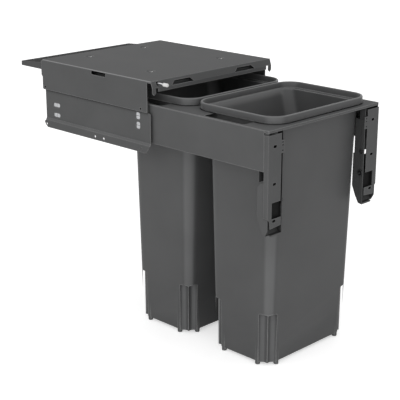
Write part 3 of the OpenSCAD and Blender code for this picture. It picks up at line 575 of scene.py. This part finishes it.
def finish_piece(piece, body, slot, stands_for, finish=None):
    """Settle the mesh at the origin, shade it, and tie it to its body, slot and node."""
    pick(piece)
    bpy.ops.object.transform_apply(location=True, rotation=True, scale=True)
    bpy.ops.object.mode_set(mode="EDIT")
    bpy.ops.mesh.select_all(action="SELECT")
    bpy.ops.mesh.remove_doubles(threshold=SAME_PLACE)
    bpy.ops.mesh.normals_make_consistent(inside=False)
    bpy.ops.object.mode_set(mode="OBJECT")
    bpy.ops.object.shade_smooth_by_angle(angle=SMOOTH_ANGLE)
    piece.data.materials.clear()
    piece.data.materials.append(finish or FINISHES[slot])
    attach(piece, body)
    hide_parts(stands_for)
    print(piece.name, len(piece.data.polygons), "faces")

# %% [markdown]
# A moulded bucket is a stack of rounded rectangles. Each ring starts as a plane, its four
# corners are bevelled into arcs, and its face is taken away. Neighbouring rings are then
# bridged. A ring writes its number on its vertices, so that it can be found again.

# %% Make the ring tool
CORNER_STEPS = 10


def add_ring(piece, corner, ring, number):
    """Add one rounded rectangle of edges and write its number on its vertices."""
    left, right, front, rear, height, radius = ring
    middle = Vector(((left + right) / 2, (front + rear) / 2, height)) * MM + corner
    width, length = (right - left) * MM, (rear - front) * MM
    bpy.ops.mesh.select_all(action="DESELECT")
    bpy.ops.mesh.primitive_plane_add(size=1, location=middle)
    bpy.ops.transform.resize(value=(width, length, 1), center_override=middle)
    bpy.ops.mesh.bevel(offset=radius * MM, segments=CORNER_STEPS, affect="VERTICES",
                       clamp_overlap=False)
    mesh = bmesh.from_edit_mesh(piece.data)
    number_layer = mesh.verts.layers.int["ring"]
    for vertex in mesh.verts:
        if vertex.select:
            vertex[number_layer] = number
    bpy.ops.mesh.delete(type="ONLY_FACE")

# %% [markdown]
# The loft bridges each ring to the next, and closes the first and the last with a face.
# Two rings are never level with each other, because the bridge would then not know which
# way is up. The same tool makes the outside and the hollow.

# %% Bridge a stack of rings
def loft(name, corner, rings):
    """Bridge a stack of rings into a closed solid."""
    start_clean()
    bpy.ops.mesh.primitive_plane_add(size=1)
    piece = bpy.context.object
    piece.name = name
    bpy.ops.object.mode_set(mode="EDIT")
    bpy.ops.mesh.delete(type="VERT")
    bmesh.from_edit_mesh(piece.data).verts.layers.int.new("ring")
    for number, ring in enumerate(rings):
        add_ring(piece, corner, ring, number)
    last = len(rings) - 1
    for wanted in [(number, number + 1) for number in range(last)] + [(0,), (last,)]:
        number_layer = bmesh.from_edit_mesh(piece.data).verts.layers.int["ring"]
        select_in_edit(piece, lambda vertex: vertex[number_layer] in wanted)
        if len(wanted) == 2:
            bpy.ops.mesh.bridge_edge_loops()
        else:
            bpy.ops.mesh.edge_face_add()
    bpy.ops.mesh.select_all(action="SELECT")
    bpy.ops.mesh.normals_make_consistent(inside=False)
    bpy.ops.object.mode_set(mode="OBJECT")
    return piece

# %% [markdown]
# A bucket's section is measured at the rim and at the base, and tapers in a straight line
# between them. From the neck upwards the rear wall swings back to the throat. The numbers
# are millimetres, from the rim's outer corner and from the underside of the collar.

# %% Give the sections of a bucket
RIM_WIDTH, RIM_DEPTH, RIM_HEIGHT, RIM_RADIUS = 339, 251, 18, 45
IN_LEFT, IN_RIGHT, IN_FRONT, IN_REAR = 10, 14, 11, 29
TAPER_LEFT, TAPER_RIGHT, TAPER_FRONT, TAPER_REAR = 11, 14, 16, 19
THROAT_IN_REAR = 6.5
NECK_DEPTH = 95
BUCKET_DEPTH, FOOT_HEIGHT = 581, 6
BODY_RADIUS, BASE_RADIUS = 34, 22
WALL, BASE_WALL, BASE_BEVEL = 2.2, 2.5, 5


def body_ring(depth, inset=0.0):
    """The bucket's section at a depth below the rim, drawn in by inset."""
    share = depth / BUCKET_DEPTH
    below_neck = max(0, depth - NECK_DEPTH) / (BUCKET_DEPTH - NECK_DEPTH)
    radius = BODY_RADIUS + (BASE_RADIUS - BODY_RADIUS) * below_neck
    in_rear = IN_REAR + (THROAT_IN_REAR - IN_REAR) * max(0, 1 - max(0, depth) / NECK_DEPTH)
    return (IN_LEFT + TAPER_LEFT * share + inset,
            RIM_WIDTH - IN_RIGHT - TAPER_RIGHT * share - inset,
            IN_FRONT + TAPER_FRONT * share + inset,
            RIM_DEPTH - in_rear - TAPER_REAR * share - inset,
            -depth, radius - inset)


def collar_ring(inset, height):
    """The collar's section at a height, drawn in by inset."""
    return (inset, RIM_WIDTH - inset, inset, RIM_DEPTH - inset, height, RIM_RADIUS - inset)


print("section at the base", *(round(value, 1) for value in body_ring(BUCKET_DEPTH)))

# %% [markdown]
# Moulded edges are round: plastic doesn't fill a sharp corner, and a hand wouldn't like
# one. A bevel on the finished bucket would have to find its way round the flutes, so the
# rounding is built into the stack instead, as rings at even steps of a quarter turn.

# %% Round the rim and the base
ROLL_STEPS = 4


def quarter_turn():
    """Cosine and sine at even steps of a quarter turn."""
    angles = [math.pi / 2 * step / ROLL_STEPS for step in range(ROLL_STEPS + 1)]
    return [(math.cos(angle), math.sin(angle)) for angle in angles]


def rolled_rings(height, radius):
    """Collar rings that roll a quarter turn over the top of the rim."""
    return [collar_ring(radius * (1 - cosine), height - radius * (1 - sine))
            for cosine, sine in quarter_turn()]


def bevel_rings(depth, inset, size):
    """Body rings that turn the wall into the base."""
    return [body_ring(depth - size * (1 - sine), inset + size * (1 - cosine))
            for cosine, sine in reversed(quarter_turn())]


print("a rounding has", len(quarter_turn()), "rings")

# %% [markdown]
# The outside goes up from the base, along the walls, out under the collar and over its
# rolled top. The hollow follows it one wall further in, and ends above the rim, so that it
# cuts the top open. At the foot of the collar it steps out over a small ledge.

# %% Shape the outside and the hollow of a bucket
COLLAR_WALL, LEDGE, RIM_ROLL = 5, 2.5, 2.6
NECK_SWING = 12
STRAIGHT_DEPTHS = (460, 340, 220, NECK_DEPTH + NECK_SWING, NECK_DEPTH, NECK_DEPTH - NECK_SWING,
                   45, 15)
front_low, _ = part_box("front_bucket")
front_corner = Vector(front_low) + Vector((0, 0, BUCKET_DEPTH + FOOT_HEIGHT)) * MM

outside_rings = bevel_rings(BUCKET_DEPTH, 0, BASE_BEVEL)
outside_rings += [body_ring(depth) for depth in (*STRAIGHT_DEPTHS, 1)]
outside_rings += [collar_ring(3, 0), collar_ring(3, 1.2), collar_ring(0.8, 1.5),
                  collar_ring(0, 2.3)]
outside_rings += rolled_rings(RIM_HEIGHT, RIM_ROLL)

hollow_rings = bevel_rings(BUCKET_DEPTH - BASE_WALL, WALL, BASE_BEVEL)
hollow_rings += [body_ring(depth, WALL) for depth in STRAIGHT_DEPTHS]
hollow_rings += [body_ring(-LEDGE + 1.4, WALL), body_ring(-LEDGE + 0.5, WALL - 1)]
hollow_rings += [collar_ring(COLLAR_WALL + 1, LEDGE), collar_ring(COLLAR_WALL, LEDGE + 1)]
hollow_rings += [collar_ring(COLLAR_WALL - inset, RIM_HEIGHT + height)
                 for inset, height in ((0, -1.6), (0.6, -0.5), (2, 0.2), (2, 2))]

shell = loft("front_bucket_shell", front_corner, outside_rings)
hollow = loft("front_bucket_hollow", front_corner, hollow_rings)
print("rings", len(outside_rings), "outside and", len(hollow_rings), "in the hollow")

# %% [markdown]
# Each corner of the base has two flutes with round tops, and a small round foot beside
# each flute. Both are placed along and across the corner's diagonal. A flute could be
# pressed in vertex by vertex, but a cutter keeps its round top clean: it is a sphere,
# flattened a little, whose lower half is drawn down past the ground.

# %% Make the cutter for a flute
FLUTE_RADIUS, FLUTE_APART, FLUTE_OUT, FLUTE_HEIGHT = 12.5, 12, 21, 121
FLUTE_TOP_SHARE = 0.35
ROUND_STEPS = 32


def corner_point(side_x, side_y, along, across):
    """A point near a corner of the base, along and across its diagonal."""
    left, right, front, rear, _, _ = body_ring(BUCKET_DEPTH)
    centre = Vector(((left + right) / 2 + side_x * ((right - left) / 2 - BASE_RADIUS),
                     (front + rear) / 2 + side_y * ((rear - front) / 2 - BASE_RADIUS)))
    outward = Vector((side_x, side_y)).normalized()
    spot = centre + outward * along + Vector((-outward.y, outward.x)) * across
    return front_corner + Vector((spot.x, spot.y, 0)) * MM


def add_flute(spot, radius):
    start_clean()
    top = -BUCKET_DEPTH + FLUTE_HEIGHT
    bpy.ops.mesh.primitive_uv_sphere_add(segments=ROUND_STEPS, ring_count=ROUND_STEPS // 2,
                                         radius=radius * MM,
                                         location=spot + Vector((0, 0, top * MM)))
    flute = bpy.context.object
    bpy.ops.object.mode_set(mode="EDIT")
    bpy.ops.mesh.select_all(action="SELECT")
    bpy.ops.transform.resize(value=(1, 1, FLUTE_TOP_SHARE), center_override=flute.location)
    select_in_edit(flute, lambda vertex: vertex.co.z < SAME_PLACE)
    bpy.ops.transform.translate(value=(0, 0, -FLUTE_HEIGHT * MM - FOOT_HEIGHT * MM))
    bpy.ops.object.mode_set(mode="OBJECT")
    return flute


def flutes(side, radius):
    return join([add_flute(corner_point(x, y, FLUTE_OUT, side * FLUTE_APART), radius)
                 for x in (-1, 1) for y in (-1, 1)])


print("front left corner of the base at", corner_point(-1, -1, 0, 0))

# %% [markdown]
# A foot is a post with a rounded lower end. It runs up the whole height of the flutes, so
# that most of it lies in the wall and shows as a soft ridge beside them.

# %% Make a foot
FOOT_RADIUS, FOOT_ROUNDING, FOOT_SIDE, FOOT_OUT = 6, 1.5, 21.5, 4


def add_foot(spot):
    start_clean()
    height = FLUTE_HEIGHT + FOOT_HEIGHT
    lift = height / 2 - BUCKET_DEPTH - FOOT_HEIGHT
    bpy.ops.mesh.primitive_cylinder_add(vertices=ROUND_STEPS, radius=FOOT_RADIUS * MM,
                                        depth=height * MM,
                                        location=spot + Vector((0, 0, lift * MM)))
    foot = bpy.context.object
    bpy.ops.object.mode_set(mode="EDIT")
    select_in_edit(foot, lambda vertex: vertex.co.z < 0)
    bpy.ops.mesh.bevel(offset=FOOT_ROUNDING * MM, segments=3)
    bpy.ops.object.mode_set(mode="OBJECT")
    return foot

# %% [markdown]
# The wall keeps its thickness round a flute. So the same shape, one wall larger, comes out
# of the hollow before the hollow is cut from the outside. The feet are joined on first, and
# the flutes themselves are cut last.

# %% Cut the bucket
feet = join([add_foot(corner_point(x, y, FOOT_OUT, side * FOOT_SIDE))
             for x in (-1, 1) for y in (-1, 1) for side in (-1, 1)])
cut_with(shell, feet, "UNION")
for side in (-1, 1):
    cut_with(hollow, flutes(side, FLUTE_RADIUS + WALL))
cut_with(shell, hollow)
for side in (-1, 1):
    cut_with(shell, flutes(side, FLUTE_RADIUS))
print("bucket", len(shell.data.polygons), "faces")

# %% [markdown]
# Both buckets come from one mould, so the rear one is a copy with a mesh of its own, moved
# back by the step between the two places that the measured model gives.

# %% Copy the bucket for the rear place
rear_low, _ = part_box("rear_bucket")
pick(shell)
bpy.ops.object.duplicate(linked=False)
rear_shell = bpy.context.object
rear_shell.name = "rear_bucket_shell"
bpy.ops.transform.translate(value=(0, rear_low[1] - front_low[1], 0))
finish_piece(shell, "carrier", "bucket_plastic", "front_bucket")
finish_piece(rear_shell, "carrier", "bucket_plastic", "rear_bucket")

# %% [markdown]
# The inner lid hangs on four bolts, whose flat round heads lie in the pressed cups of the
# cover. Only the head shows: it has a rounded rim and a six-sided socket. One bolt is
# drawn down from its head by inset and extrude, which leaves no seam between head and
# shank.

# %% Model one lid bolt
BOLT_HEAD_RADIUS, BOLT_HEAD_HEIGHT, BOLT_ROUNDING = 5.5, 1.6, 1.3
BOLT_RADIUS, BOLT_COLLAR_HEIGHT = 3, 1.5
SOCKET_RADIUS, SOCKET_DEPTH = 3.4, 1.2

bolts_low, bolts_high = (Vector(corner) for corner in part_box("lid_bolts"))


def add_bolt():
    start_clean()
    half = BOLT_HEAD_HEIGHT / 2
    middle = Vector((0, 0, bolts_high.z - half * MM))
    bpy.ops.mesh.primitive_cylinder_add(vertices=ROUND_STEPS, radius=BOLT_HEAD_RADIUS * MM,
                                        depth=BOLT_HEAD_HEIGHT * MM, location=middle)
    bolt = bpy.context.object
    bpy.ops.object.mode_set(mode="EDIT")
    select_in_edit(bolt, lambda vertex: vertex.co.z > 0)
    bpy.ops.mesh.bevel(offset=BOLT_ROUNDING * MM, segments=3)
    select_in_edit(bolt, lambda vertex: vertex.co.z < -half * MM * 0.99)
    bpy.ops.mesh.inset(thickness=(BOLT_HEAD_RADIUS - BOLT_RADIUS) * MM)
    shank = bolts_high.z - bolts_low.z - (BOLT_HEAD_HEIGHT + BOLT_COLLAR_HEIGHT) * MM
    bpy.ops.mesh.extrude_region_move(TRANSFORM_OT_translate={"value": (0, 0, -shank)})
    bpy.ops.mesh.extrude_region_move()
    wider = BOLT_HEAD_RADIUS / BOLT_RADIUS
    bpy.ops.transform.resize(value=(wider, wider, 1), center_override=middle)
    drop = (0, 0, -BOLT_COLLAR_HEIGHT * MM)
    bpy.ops.mesh.extrude_region_move(TRANSFORM_OT_translate={"value": drop})
    bpy.ops.object.mode_set(mode="OBJECT")
    bpy.ops.mesh.primitive_cylinder_add(vertices=6, radius=SOCKET_RADIUS * MM,
                                        depth=2 * SOCKET_DEPTH * MM,
                                        location=(0, 0, bolts_high.z))
    cut_with(bolt, bpy.context.object)
    return bolt

# %% [markdown]
# The bolt is copied to its four places, and the four are joined, as they are one node of
# the measured model. The heads are dark, and the side that catches the light in the
# photograph is painted bright: a painted highlight.

# %% Place the four bolts
BOLT_HALF_FRONT, BOLT_HALF_REAR = 121, 95
BOLT_HIGHLIGHT_SIDE, HIGHLIGHT_FROM, DARK_FROM, DARK_SHARE = (0.7, -0.7, 0), 0.3, 0.1, 0.02

middle_x = (bolts_low.x + bolts_high.x) / 2
places = [(middle_x + side * half * MM, y) for side in (-1, 1)
          for half, y in ((BOLT_HALF_FRONT, bolts_low.y + BOLT_HEAD_RADIUS * MM),
                          (BOLT_HALF_REAR, bolts_high.y - BOLT_HEAD_RADIUS * MM))]
bolts = [add_bolt()]
while len(bolts) < len(places):
    pick(bolts[0])
    bpy.ops.object.duplicate(linked=False)
    bolts.append(bpy.context.object)
for bolt, (x, y) in zip(bolts, places):
    bolt.location.x, bolt.location.y = x, y
lid_bolts = join(bolts)
lid_bolts.name = "lid_bolt_set"
highlighted_bolt_steel = make_finish("highlighted_bolt_steel", BRIGHT_HIGHLIGHT, BRIGHT_HIGHLIGHT, 0.35, edge_blend=0)
# Only faces looking this way stay bright: a painted highlight on a dark head.
highlight_side = looking(highlighted_bolt_steel.node_tree, BOLT_HIGHLIGHT_SIDE)
shade_by(highlighted_bolt_steel, highlight_side, HIGHLIGHT_FROM, DARK_FROM, DARK_SHARE)
finish_piece(lid_bolts, "housing", "dark_screw_steel", "lid_bolts", highlighted_bolt_steel)

# %% [markdown]
# The damper's pin ends in a white plastic tip that the carrier pushes. It is a short rod,
# lying along the pull-out's travel, with a well-rounded nose and a small chamfer behind.

# %% Model the damper tip
TIP_NOSE, TIP_CHAMFER = 2.2, 0.5
TIP_END_SHARE = 0.49

tip_low, tip_high = (Vector(corner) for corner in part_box("damper_tip"))
tip_radius, tip_length = (tip_high.x - tip_low.x) / 2, tip_high.y - tip_low.y
start_clean()
bpy.ops.mesh.primitive_cylinder_add(vertices=ROUND_STEPS, radius=tip_radius, depth=tip_length,
                                    location=(tip_low + tip_high) / 2,
                                    rotation=(math.pi / 2, 0, 0))
tip = bpy.context.object
tip.name = "damper_pin_tip"
bpy.ops.object.mode_set(mode="EDIT")
for front, size in ((1, TIP_NOSE), (-1, TIP_CHAMFER)):
    select_in_edit(tip, lambda vertex: vertex.co.z * front > tip_length * TIP_END_SHARE)
    bpy.ops.mesh.bevel(offset=size * MM, segments=5)
bpy.ops.object.mode_set(mode="OBJECT")
finish_piece(tip, "damper_pin", "white_plastic", "damper_tip")
